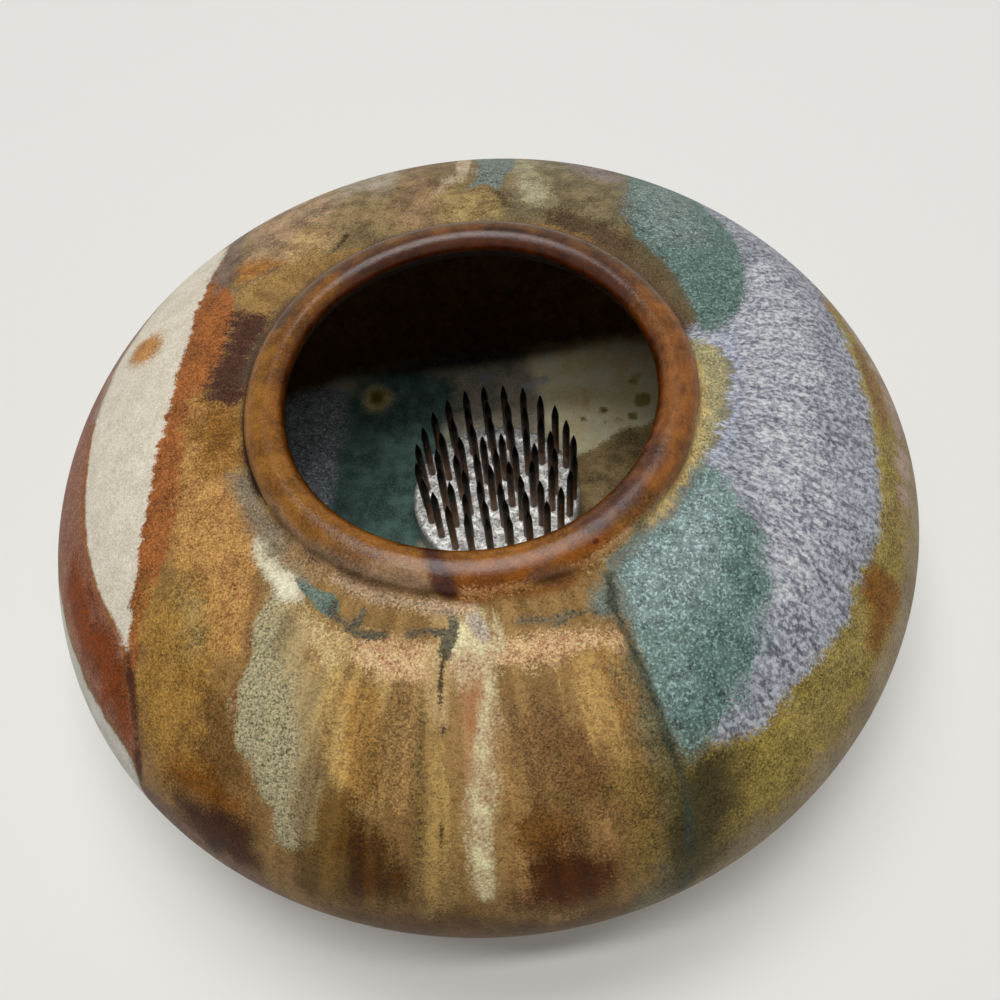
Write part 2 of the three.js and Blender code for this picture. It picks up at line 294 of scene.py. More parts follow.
# Glazes that lie over the pepper
CLEAN_POURS = [
    # Left
    Pour("cream", (0.4, 0.25, 0.5, 0.7), (186, 176, 152), (240, 230, 213), [(-44.5, 51), (-45.5, 45), (-46.5, 40),
        (-47.5, 35), (-48.5, 30), (-49.4, 25), (-50.3, 20), (-51.2, 15), (-52, 10), (-52.9, 5), (-53.7, 0), (-54.5, -5),
        (-55.3, -10), (-56.1, -15), (-57.1, -20), (-58.2, -25), (-59.3, -30), (-60.4, -34.5), (-62, -31), (-63.6, -28),
        (-65.6, -24), (-67.3, -20), (-68.7, -15), (-69.8, -10), (-70.4, -5), (-70.8, 0), (-71, 5), (-71.2, 10),
        (-71, 15), (-70.4, 20), (-69.4, 26), (-67.8, 31), (-65.4, 36), (-61.5, 43.5), (-57, 54), (-52, 64), (-46, 64)]),
    Pour("cream_fringe", (0.35, 0.2, 0.35, 0), (118, 64, 28), (162, 108, 62), Line([(-61.2, -32.5), (-65.9, -24),
        (-69.1, -15), (-70.8, -5), (-71.2, 5), (-71.4, 15)], 0.55)),
    # Painted shade: a grey band along the cream's outer edge, where the body turns away at its outline
    Pour("cream_rim_shade", (1, 0.4, 0.5, 0), (110, 90, 76), (166, 140, 126), Line([(-71.4, 15), (-70.8, 20), (-69.8, 26),
        (-68.2, 31), (-65.8, 36), (-62, 44), (-57.6, 54), (-53, 64)], 1.3)),
    Pour("rust_spot", (1.4, 0.6, 1.4, 0), (79, 54, 27), (231, 164, 93), [(-63.2, 26), (-62, 28.8), (-59.6, 29.6),
        (-57, 28.6), (-55.8, 26), (-56.6, 23), (-59, 21.6), (-61.8, 22.8)]),
    Pour("purple_brown", MELTED, (52, 40, 33), (151, 127, 109), [(-46, 56), (-45.4, 46), (-46.3, 38), (-44.5, 34),
        (-42.5, 36), (-41, 44), (-41.5, 54), (-42, 66), (-46, 66)], "cloud"),
    Pour("purple_black", (1.2, 0.9, 1.6, 1), (27, 14, 9), (93, 59, 46), [(-40.9, 26), (-35, 24), (-35.8, 19.4),
        (-37.6, 15.8), (-39.2, 8.6), (-41.2, 4.7), (-46, 8), (-44.6, 13.4), (-42.9, 18.2), (-41.7, 22.4)], "stipple"),
    Pour("pale_low_left", (0.5, 0.8, 0.5, 0.3), (176, 170, 156), (230, 226, 216), [(-66.5, -50.5), (-69.5, -45),
        (-72.5, -40), (-75, -35), (-77, -30), (-79, -25), (-81, -20), (-84, -10), (-88, 2), (-94, 14), (-103, 20),
        (-112, 10), (-117, -8), (-116, -30), (-110, -50), (-100, -66), (-88, -74), (-76, -68), (-69, -58)], "cloud"),
    Pour("seam_left", (0.6, 0.4, 0.5, 0.3), (38, 12, 2), (92, 48, 24), Line([(-60.3, -35), (-60.6, -42), (-61.7, -47),
        (-63.5, -51), (-65.5, -54.5)], 0.8)),
    # Front left
    Pour("celadon", (0.9, 0.7, 1.2, 1), (68, 64, 48), (202, 190, 147), [(-34.9, -31.3), (-36.1, -33.7), (-37.3, -35.8),
        (-38.2, -40), (-40.6, -45.4), (-41.8, -46.6), (-42.4, -49.3), (-41.5, -52.3), (-40, -56.2), (-39.4, -60.1),
        (-39.4, -63.7), (-38.8, -68.5), (-37.6, -69.4), (-35.5, -68.8), (-32.8, -62.5), (-31.3, -57.1), (-30.4, -51.7),
        (-30.4, -47.5), (-30.4, -43.9), (-31.3, -40.3), (-31.6, -37), (-31.9, -34), (-33.1, -31.9)], "stipple"),
    Pour("celadon_fade", (2.4, 1, 2, 1.6), (78, 57, 37), (196, 172, 121), Line([(-31.8, -36), (-31, -42), (-30.2, -48),
        (-30.4, -54), (-31.6, -60), (-33.6, -66)], 1.7), "streak"),
    Pour("celadon_edge", STIPPLED, (92, 54, 28), (150, 100, 60), Line([(-36.4, -31), (-37.8, -35.5), (-38.6, -40.5),
        (-40.8, -44.2), (-41.8, -48.5)], 0.35)),
    Pour("cream_run", (0.8, 0.4, 0.7, 0.3), (185, 167, 123), (244, 242, 218), [(-37, -22), (-35, -23), (-32, -28),
        (-29.5, -32), (-30.5, -34.5), (-33, -33.5), (-35.4, -29), (-37, -25)]),
    Pour("teal_fleck", INKED, (42, 49, 44), (132, 152, 137), [(-31, -30.2), (-29.4, -31), (-27.4, -33), (-25, -34.3),
        (-24.2, -36.5), (-25.2, -38), (-27.5, -36.6), (-28.6, -34.5), (-30.2, -32.8)]),
    # Front
    Pour("hook_halo", SOFT, (138, 105, 50), (209, 182, 133), Line([(-9, -40.2), (-7.4, -41), (-7.6, -43), (-9, -46),
        (-9.9, -50), (-10.3, -55)], 1.4)),
    Pour("pale_run", (1.6, 0.6, 1, 1.2), (149, 85, 65), (246, 246, 192), [(-7.6, -44), (-5, -40.8), (-1.6, -41.2),
        (-0.8, -46), (-2, -52), (-3.6, -60), (-5.4, -68), (-6.6, -80), (-8.8, -80), (-8.4, -70), (-7.5, -62),
        (-6.5, -55), (-7.3, -49)], "cloud"),
    Pour("rust_streak", SOFT, (150, 98, 56), (182, 132, 86), [(-7.5, -57), (-6.5, -52), (-5, -50.5), (-3.5, -50),
        (-3.6, -52), (-5.2, -55), (-6.6, -60), (-7.6, -64), (-8, -62)]),
    Pour("lilac_fleck", (0.6, 0.3, 0.5, 0), (109, 87, 70), (229, 223, 205), [(-5.2, -41.3), (-3.4, -41), (-2, -44),
        (-2.6, -45.4), (-4.4, -43.4)]),
    ink("line_left", 0.48, [(-25, -35.6), (-25.2, -37.4), (-23.6, -39.3), (-21.4, -41.2), (-17.6, -42.2)]),
    ink("line_loop", 0.55, [(-20.6, -37.6), (-21.4, -39.2), (-22.6, -40)]),
    ink("line_middle", 0.42, [(-14, -42.6), (-11.4, -42.8), (-8.4, -43.2)]),
    Pour("hook", THIN, (36, 38, 31), (122, 113, 90), Line([(-9.4, -39.8), (-7.6, -40.4), (-7.2, -42.4), (-8.2, -44.6),
        (-9, -46.4)], 0.8)),
    Pour("drip", (0.18, 0.25, 0.45, 0), (44, 34, 22), (104, 84, 54), Line([(-9, -46), (-9.8, -49), (-10.2, -52),
        (-10.4, -56)], 0.22)),
    Pour("drip_dot", INKED, (46, 26, 32), (86, 64, 66), Line([(-10.6, -55.8), (-10.2, -57.2)], 0.5)),
    Pour("dash_a", INKED, (84, 56, 20), (110, 80, 40), Line([(-22.7, -53.2), (-22.4, -56.2)], 0.16)),
    Pour("dash_b", INKED, (90, 50, 40), (116, 76, 56), Line([(-21.7, -50), (-21.3, -50.2)], 0.26)),
    Pour("dash_c", INKED, (70, 44, 16), (100, 72, 36), Line([(-18.3, -57), (-18.1, -57.2)], 0.24)),
    Pour("dash_d", INKED, (66, 46, 18), (100, 76, 40), Line([(-12.5, -68.8), (-12.9, -70.4), (-13.3, -72)], 0.2)),
    Pour("line_right", (0.3, 0.4, 0.9, 0), (44, 42, 34), (140, 126, 98), Line([(2.4, -43.2), (5, -43), (8, -43.8),
        (10, -43.2)], 0.8)),
    ink("line_far", 0.45, [(10, -43.2), (13, -43), (16, -43.2), (18.4, -42.6)]),
    # Right
    Pour("lavender", (0.5, 1.1, 1.9, 0.8), (76, 77, 84), (194, 197, 205), [(38, 8), (43, 9), (44, 16), (46, 26),
        (46, 40), (47, 54), (56, 76), (66, 96), (74, 88), (80, 92), (84, 72), (78, 54), (74, 36), (71.5, 20),
        (71.3, 10), (70.5, 2), (70, -5), (69.6, -11), (68, -17), (66.5, -24), (65, -30), (62, -35), (58.6, -39),
        (56.6, -42), (56, -46), (52.4, -48.7), (46.7, -53.2), (42.2, -56.8), (38, -60), (31, -63), (27, -62), (26, -54),
        (28, -48), (30, -42), (30, -34), (28, -28), (31, -22), (35, -15), (37, -8), (38, 0)], "fleck"),
    # Whiter lavender glaze, partly a painted sheen of the lamps on the shoulder
    Pour("lavender_white_and_sheen", CLOUDY, (91, 91, 109), (217, 218, 219), [(52, 24), (60, 24), (63, 10), (60, -6), (57, -18),
        (53, -32), (47, -44), (41, -46), (43, -32), (45, -18), (46, -4), (48, 8)], "fleck"),
    Pour("lavender_violet", MELTED, (95, 103, 127), (203, 205, 214), Line([(45, 4), (44.4, -3), (42.4, -10),
        (39.4, -16.4), (37.5, -19)], 1.6), "fleck"),
    Pour("teal_low", (1.2, 0.7, 1.6, 0.8), (60, 72, 69), (170, 201, 192), [(36.5, -19), (39.5, -25), (41.3, -31),
        (41.5, -37), (40.5, -42), (38.5, -47), (36, -51.5), (32.5, -56), (30, -60), (28, -63), (25, -67), (23, -65),
        (21, -58), (19.4, -51), (18.2, -45), (17.4, -40), (18, -34), (23, -29), (28, -25), (32, -20)], "frost"),
    Pour("teal_low_pale", CLOUDY, (71, 81, 80), (195, 220, 218), [(36, -22), (38, -27), (37, -34), (34, -40), (28, -43),
        (22, -44), (20, -38), (24, -33), (30, -28)], "frost"),
    Pour("teal_low_dark", CLOUDY, (46, 58, 55), (142, 175, 167), [(40, -30), (41, -38), (38, -47), (33, -55), (28, -62),
        (24.5, -65), (23, -60), (29, -51), (34.5, -44), (37.5, -36)], "frost"),
    Pour("back_teal", STIPPLED, (55, 66, 55), (165, 176, 167), [(3, 50), (7, 54.5), (8, 62), (7, 84), (8, 98),
        (12, 110), (16, 100), (17, 84), (15.5, 62), (13, 55), (11, 49), (8.5, 52), (5.5, 51)], "frost"),
    Pour("teal_up", (0.8, 0.5, 1.4, 0.6), (46, 64, 54), (144, 171, 164), [(43, 6.5), (46, 8.5), (49.5, 12), (52, 17),
        (53.6, 23), (54.6, 30), (54.4, 36), (53, 42), (53, 52), (57, 74), (63, 90), (60, 104), (54, 98), (49, 108),
        (44, 92), (41, 76), (38.5, 58), (37.5, 50), (36, 43), (34.4, 36), (34.4, 32), (36.5, 28), (38.5, 24), (40, 19),
        (41, 13)], "frost"),
    Pour("teal_up_pale", CLOUDY, (57, 65, 62), (171, 192, 184), [(37, 30), (45, 28), (49, 34), (48, 50), (40, 54),
        (36, 40)], "frost"),
    Pour("seam_cloud", (1.2, 0.8, 1.6, 0), (46, 49, 44), (144, 151, 137), [(14.6, -40.4), (17.4, -37.6), (19, -39.6),
        (19.4, -43), (18, -46), (15.4, -44), (13.4, -42.6)]),
    Pour("seam_halo", CLOUDY, (38, 32, 14), (123, 105, 58), [(21, -62), (25, -62.5), (31, -63.5), (34.5, -67),
        (34, -74), (32, -84), (25, -90), (20.5, -80), (20, -70)]),
    Pour("seam_foot", (1.3, 0.9, 1.3, 0.8), (26, 22, 9), (91, 80, 45), [(22.4, -68), (24.6, -66), (27.4, -64.8),
        (30, -66), (30.8, -70), (29.6, -76), (27.6, -82), (25, -88), (22.4, -80)]),
    Pour("seam_right", (0.7, 0.35, 0.45, 0.3), (24, 29, 22), (78, 82, 64), Line([(17.6, -37.6), (17.2, -40),
        (17.4, -44), (18.6, -48.5), (19.8, -53), (21.2, -59), (22.8, -65), (24, -70), (24.6, -78), (25.4, -88)], 0.7)),
    Pour("teal_border", (0.5, 0.6, 1.4, 0), (54, 52, 36), (110, 102, 76), Line([(41, 11), (40, 17), (38.2, 22.5),
        (36, 27), (33.8, 31.5)], 0.5)),
    # Neck and lip
    # Painted shade in the cove between the lip and the shoulder, on the left and back
    Pour("groove_left_shade", (1.2, 0.6, 0.7, 0), (46, 34, 28), (98, 80, 66), Line(arc(40, 104, 166), 1.5)),
    Pour("groove_lilac", (1.5, 0.7, 1, 0.5), (54, 48, 38), (165, 148, 122), Line(arc(41, 196, 226), 2)),
    # Painted shade in the cove behind the lip
    Pour("groove_back_shade", (1.1, 0.5, 0.6, 0), (58, 42, 32), (104, 82, 62), Line(arc(39.4, 12, 150), 1.5)),
    Pour("back_shadow", MELTED, (33, 24, 14), (108, 87, 61), [(18, 38), (24, 34), (30, 28), (34, 27), (33, 32),
        (28, 38), (21, 41)]),
    Pour("groove_front", MELTED, (68, 53, 32), (202, 162, 107), Line(arc(40, 220, 256), 1.5)),
    Pour("groove_glint", (1, 0.6, 1.2, 0), (83, 70, 55), (240, 206, 167), Line(arc(40.4, 232, 264), 1)),
    Pour("fringe_right", (0.45, 0.5, 1, 1.2), (70, 65, 46), (206, 194, 144), [(37.5, 5), (41, 4.5), (44, 2.5),
        (44.4, -2), (43.4, -6), (42.4, -9.5), (40.4, -13.5), (38.4, -17), (35.6, -20.5), (32.2, -24), (28.2, -28),
        (24.2, -31), (19, -34.5), (14, -37), (14, -34), (22, -28), (30, -20), (35, -10), (37, 0)]),
    Pour("fringe_line", (0.4, 0.5, 1, 1.1), (96, 92, 74), (150, 144, 118), Line([(44, 2.5), (44.4, -2), (43.4, -6),
        (42.4, -9.5), (40.4, -13.5), (38.4, -17), (35.6, -20.5)], 0.3)),
    Pour("fringe_brown", (1, 1, 0.8, 0.4), (84, 84, 74), (132, 130, 116), Line([(35, -21.5), (31.4, -25.6),
        (27.6, -29.4), (22.6, -33), (18.6, -36.2)], 0.9)),
    Pour("fringe_orange", (1.4, 0.4, 0.5, 0.8), (142, 78, 49), (246, 227, 151), Line(arc(38.6, -50, 0), 1.2)),
    Pour("lip", (1, 0.3, 0.4, 0), (55, 32, 5), (168, 106, 34), Ring(20, 37.6), "cloud"),
    Pour("lip_front", BLURRED, (77, 31, 0), (164, 94, 3), [(-9, -33), (0, -33.5), (10, -32.5), (17, -31), (15, -36),
        (8, -39), (0, -39.5), (-7, -39)], "cloud"),
    Pour("lip_base", (0.8, 0.4, 0.8, 0), (192, 120, 54), (255, 206, 142), Line(arc(38.2, 262, 304), 0.7)),
    Pour("lip_right", BLURRED, (52, 28, 6), (159, 97, 39), [(24, -24), (30, -24), (36, -12), (38, 2), (36, 12),
        (28, 16), (26, 0)], "smooth"),
    Pour("lip_back_outer", BLURRED, (53, 28, 16), (116, 85, 49), Line(arc(36.8, 24, 150, 14), 2.9), "smooth"),
    Pour("lip_back", BLURRED, (40, 20, 14), (100, 61, 39), Line(arc(31.4, 26, 124, 14), 2.9), "smooth"),
    # Painted shadow: a dark line where the back of the lip meets its outer roll
    Pour("lip_crease_shadow", (0.4, 0.3, 0.2, 0), (6, 2, 1), (38, 22, 18), Line(arc(33.2, 60, 108, 8), 0.26), "smooth"),
    Pour("lip_left_shade", BLURRED, (62, 47, 33), (184, 146, 108), [(-31, -16), (-27, -24), (-20, -30), (-10, -33.5),
        (-10, -37), (-20, -35), (-29, -27), (-34, -18)], "cloud"),
    # Painted shade on the lip's inner slope, all round the mouth
    Pour("mouth_edge_shade", (1.5, 0.7, 0.3, 0), (41, 10, 0), (109, 48, 4), Line(arc(29, 0, 360, 40), 1.9), "smooth"),
    Pour("lip_dark_right", BLURRED, (34, 18, 11), (113, 71, 52), [(13, -29), (19, -25), (24, -20), (27, -15),
        (28.5, -17), (26, -23), (21, -28), (15, -31)], "smooth"),
    Pour("lip_gold", BLURRED, (78, 40, 4), (160, 106, 28), Line(arc(34.6, 158, 222, 12), 2.4), "cloud"),
    # Painted shade: dark bands in the cove left of the lip, the line darkest at the lip's foot
    Pour("groove_side_shade", (0.7, 0.3, 0.4, 0), (28, 17, 9), (70, 48, 28), Line(arc(38.9, 164, 202), 0.9)),
    Pour("groove_shadow_line", (0.4, 0.25, 0.3, 0), (16, 10, 7), (56, 40, 28), Line(arc(38.7, 96, 206, 14), 0.6)),
    Pour("lip_crossing", (1, 0.5, 0.5, 0), (38, 10, 3), (84, 40, 22), Line([(-9, -30.5), (-8, -34), (-7.4, -37.2)],
        1.4), "smooth"),
    Pour("lip_crossing_foot", (0.9, 0.5, 0.4, 0), (52, 22, 18), (108, 62, 46), Line([(-8, -35.6), (-7.2, -37.4)], 1.4),
        "smooth"),
    Pour("lip_spots", BLURRED, (74, 46, 30), (120, 80, 46), [(5, -36.5), (9, -35.4), (12.5, -36.5), (10, -38),
        (6, -38)]),
    Pour("red_dot", (0.2, 0, 0, 0), (74, 14, 8), (92, 24, 12), Line([(15.2, -32.4), (15.5, -32.4)], 0.45)),
    Pour("crack_back", THIN, (36, 24, 12), (70, 50, 28), Line([(-22.5, 38.4), (-21, 40), (-19.4, 42.4)], 0.42)),
    Pour("crease_back", STIPPLED, (70, 50, 28), (104, 80, 50), Line([(-9, 55.2), (-7, 54.8), (-5, 55.4)], 0.25)),
    Pour("spot_back", STIPPLED, (44, 38, 24), (96, 80, 48), Line([(9.6, 50), (11.2, 47), (11.8, 44.4)], 0.45)),
]
OUTSIDE_POURS = EARTH_POURS + CLEAN_POURS

# The inside's map: a place lies at its own angle, as far out as its length along the wall from the floor's middle.
INSIDE_GROUND = ((176, 166, 138), (206, 196, 168), "cloud")
INSIDE_POURS = [
    Pour("inner_cream", HAZY, (229, 198, 130), (246, 246, 217), [(15, 52), (15, 36), (18, 24), (28, 18), (40, 14),
        (60, 10), (60, 44), (40, 56)], "cloud"),
    Pour("inner_white", HAZY, (90, 90, 83), (186, 174, 150), [(-15, 50), (-9, 36), (-3, 24), (6, 20), (13, 28),
        (14, 40), (9, 50)], "cloud"),
    Pour("inner_lavender", HAZY, (77, 80, 82), (226, 233, 237), [(-54, 46), (-36, 46), (-26, 42), (-25, 32), (-26, 22),
        (-28, 8), (-60, 4), (-66, 26)], "frost"),
    Pour("inner_teal", HAZY, (30, 42, 38), (102, 133, 123), [(-28, 40), (-24, 47), (-14, 48), (-6, 45), (-3, 40),
        (-6, 32), (-9, 18), (-13, 6), (-18, -8), (-34, 0), (-33, 14), (-31, 24)], "cloud"),
    Pour("inner_tan", (0.6, 0.6, 0.9, 0), (66, 55, 36), (195, 168, 117), [(17, 16), (20, 19), (25, 21), (28, 23.4),
        (31, 24.6), (36, 25), (44, 25), (60, 12), (58, -30), (22, -40), (15, -8)], "cloud"),
    Pour("eye_halo", (1.4, 0.6, 0.6, 0), (95, 85, 47), (233, 210, 146), Line([(-21.4, 41.5), (-20.6, 41.5)], 3),
        "cloud"),
    Pour("eye", (0.8, 0.3, 0.4, 0), (76, 61, 13), (140, 117, 53), Line([(-21.2, 41.6), (-20.8, 41.6)], 1.7), "cloud"),
    Pour("eye_core", (0.6, 0, 0.3, 0), (66, 54, 24), (92, 78, 40), Line([(-21.1, 41.7), (-20.9, 41.7)], 0.6), "cloud"),
    Pour("blue_smear", (0.9, 0.3, 0.5, 0), (150, 154, 172), (178, 180, 194), Line([(12, 39.6), (15, 40.2), (18, 41)],
        0.7), "cloud"),
    spot("olive_spot_a", 1.2, (100, 84, 45), (239, 211, 142), [(36.6, 36.3), (37.2, 36.4)]),
    spot("olive_spot_b", 1.7, (154, 137, 68), (186, 165, 90), [(37, 31), (37.6, 30.8)]),
    spot("olive_spot_c", 0.6, (213, 166, 70), (246, 246, 206), [(25, 31), (25.2, 34), (25.4, 37)]),
    spot("olive_spot_d", 1, (111, 86, 38), (134, 104, 49), [(28, 30.4), (28.4, 30.3)]),
    spot("olive_spot_e", 0.8, (54, 38, 8), (98, 74, 30), [(27.8, 27.2), (28.1, 27.1)]),
    spot("olive_spot_f", 0.6, (128, 116, 76), (160, 146, 102), [(23.8, 29.2), (24.1, 29.1)]),
    spot("olive_spot_g", 1, (131, 112, 55), (164, 142, 77), [(34.4, 27.8), (34.8, 27.6)]),
    spot("olive_spot_h", 0.7, (46, 37, 15), (143, 119, 62), [(30.8, 27.4), (31.1, 27.3)]),
    Pour("grey_spot", (0.8, 0.3, 0.5, 0), (130, 132, 136), (156, 158, 160), Line([(3.4, 43.4), (4.6, 43.6)], 1),
        "cloud"),
    # A brown glaze on the upper inside wall, darkened further as painted shade; its edge follows the edge of the lamps'
    # shadow
    Pour("umber_wall_and_shade", (1.6, 0.8, 0.6, 0), (66, 42, 9), (162, 118, 45), [(-100, 22), (-58, 32), (-44, 40), (-34, 45),
        (-22, 48), (-10, 49), (6, 49), (20, 49), (32, 48), (44, 44), (60, 34), (100, 26), (120, 60), (70, 130),
        (-70, 130), (-120, 60)], "cloud"),
    # A near-black band under the shoulder and in the throat: a dark glaze, darkened further as painted shade
    Pour("throat_glaze_and_shade", BLURRED, (28, 14, 6), (50, 28, 12), Ring(86, 200), "cloud"),
]


# Shapes

def bezier(start, leave, arrive, end, steps=LONG_STEPS):
    t = np.linspace(0, 1, steps + 1)[:, None]
    corners = [np.array(corner, float) for corner in (start, leave, arrive, end)]
    weights = ((1 - t) ** 3, 3 * (1 - t) ** 2 * t, 3 * (1 - t) * t**2, t**3)
    return sum(weight * corner for weight, corner in zip(weights, corners))


def quarter(start, corner, end, steps=SHORT_STEPS):
    """A quarter round from a level stretch to an upright one, or back."""
    start, corner, end = (np.array(place, float) for place in (start, corner, end))
    leave, arrive = (place + ROUND_FULLNESS * (corner - place) for place in (start, end))
    return bezier(start, leave, arrive, end, steps)


def along(runs):
    """Runs of points joined into one, each joint given once."""
    return np.vstack([runs[0]] + [run[1:] for run in runs[1:]])


def evened(points, step):
    """The same path with points about one step apart."""
    lengths = np.r_[0, np.cumsum(np.linalg.norm(np.diff(points, axis=0), axis=1))]
    places = np.linspace(0, lengths[-1], max(2, round(lengths[-1] / step) + 1))
    return np.stack([np.interp(places, lengths, column) for column in points.T], axis=-1)


def vase_profile():
    """Radius and height from under the foot up the outside, over the lip and down the inside to the floor, with the
    number of the first glazed ring and of the mouth's narrowest ring."""
    low, high = BELLY_HANDLES
    outside = along([
        bezier(FOOT_TOP, UNDERSIDE_HANDLE, (BELLY[0], low), BELLY),
        bezier(BELLY, (BELLY[0], high), SHOULDER_HANDLE, SHOULDER_END),
        quarter(SHOULDER_END, (LIP_SIDE[0], SHOULDER_END[1]), LIP_SIDE),
        quarter(LIP_SIDE, (LIP_SIDE[0], CREST[1]), CREST),
        quarter(CREST, (NARROWEST[0], CREST[1]), NARROWEST),
    ])
    inside = along([
        bezier(NARROWEST, THROAT_HANDLE, UNDER_NECK_HANDLE, UNDER_NECK, SHORT_STEPS),
        bezier(UNDER_NECK, INNER_SHOULDER_HANDLE, (INNER_BELLY[0], high), INNER_BELLY),
        bezier(INNER_BELLY, (INNER_BELLY[0], low), FLOOR_HANDLE, FLOOR_EDGE),
        np.array([FLOOR_EDGE, FLOOR_MIDDLE]),
    ])
    outside, inside = evened(outside, OUTSIDE_STEP), evened(inside, INSIDE_STEP)
    profile = along([np.array(FOOT), outside, inside])
    return profile, len(FOOT) - 1, len(FOOT) + len(outside) - 2


def turned(profile, sides):
    """Vertices and faces of a profile turned about Z. The profile starts and ends on the axis."""
    turn = np.arange(sides) / sides * 2 * np.pi
    rings = profile[1:-1]
    count = len(rings)
    round_places = np.stack([
        np.outer(rings[:, 0], np.cos(turn)),
        np.outer(rings[:, 0], np.sin(turn)),
        np.repeat(rings[:, 1:], sides, axis=1),
    ], axis=-1).reshape(-1, 3)
    places = np.vstack([round_places, [(0, 0, profile[0, 1])], [(0, 0, profile[-1, 1])]])
    first, last = count * sides, count * sides + 1
    faces = []
    for side in range(sides):
        following = (side + 1) % sides
        faces.append((first, following, side))
        for ring in range(count - 1):
            low, high = ring * sides, (ring + 1) * sides
            faces.append((low + side, low + following, high + following, high + side))
        top = (count - 1) * sides
        faces.append((top + side, top + following, last))
    return places, faces


def new_piece(name, places, faces, body):
    mesh = bpy.data.meshes.new(name)
    mesh.from_pydata((np.asarray(places) * MM).tolist(), [], faces)
    mesh.shade_smooth()
    piece = bpy.data.objects.new(name, mesh)
    bpy.context.scene.collection.objects.link(piece)
    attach(piece, body)
    return piece


def store(mesh, name, values):
    """Keeps one number or one vector for each vertex."""
    values = np.asarray(values, dtype=np.float32)
    kind = "FLOAT_VECTOR" if values.ndim == 2 else "FLOAT"
    layer = mesh.attributes.new(name, kind, "POINT")
    layer.data.foreach_set("vector" if values.ndim == 2 else "value", values.ravel())


# Distances on the maps

REACH = 12.0  # beyond which a distance no longer matters
EDGE_REACH = 6.0  # how far past its outline a pour can show


def rounded(points, closed, steps=6):
    """A smooth line through the points."""
    points = np.array(points, float)
    if len(points) < 3:
        return points
    if closed:
        padded = np.vstack([points[-1], points, points[:2]])
    else:
        padded = np.vstack([points[0], points, points[-1]])
    t = np.linspace(0, 1, steps, endpoint=False)[:, None]
    found = []
    for before, start, end, after in zip(padded, padded[1:], padded[2:], padded[3:]):
        found.append(0.5 * (2 * start + (end - before) * t + (2 * before - 5 * start + 4 * end - after) * t**2
                            + (3 * start - before - 3 * end + after) * t**3))
    if not closed:
        found.append(points[-1:])
    return np.vstack(found)


def line_distance(places, line):
    """How far each place is from a line of points."""
    nearest = np.full(len(places), np.inf)
    for start, end in zip(line, line[1:]):
        run = end - start
        share = np.clip((places - start) @ run / max(run @ run, 1e-9), 0, 1)
        nearest = np.minimum(nearest, np.linalg.norm(places - start - share[:, None] * run, axis=1))
    return nearest


def within(places, outline):
    """Which places lie inside a closed outline."""
    inside = np.zeros(len(places), bool)
    x, y = places.T
    for (x0, y0), (x1, y1) in zip(outline, np.roll(outline, -1, axis=0)):
        crosses = (y0 > y) != (y1 > y)
        if y0 != y1:
            inside ^= crosses & (x < x0 + (y - y0) / (y1 - y0) * (x1 - x0))
    return inside


def depth_in(shape, places):
    """How deep each place lies inside a pour, negative outside it."""
    if isinstance(shape, Ring):
        radius = np.linalg.norm(places, axis=1)
        return np.clip(np.minimum(radius - shape.inner, shape.outer - radius), -REACH, REACH)
    open_line = isinstance(shape, Line)
    line = rounded(shape.points if open_line else shape, closed=not open_line)
    depth = np.full(len(places), -REACH)
    low, high = line.min(axis=0) - REACH, line.max(axis=0) + REACH
    near = ((places > low) & (places < high)).all(axis=1)
    if open_line:
        depth[near] = shape.half_width - line_distance(places[near], line)
    else:
        edge = line_distance(places[near], np.vstack([line, line[:1]]))
        depth[near] = np.where(within(places[near], line), edge, -edge)
    return np.clip(depth, -REACH, REACH)


# Materials

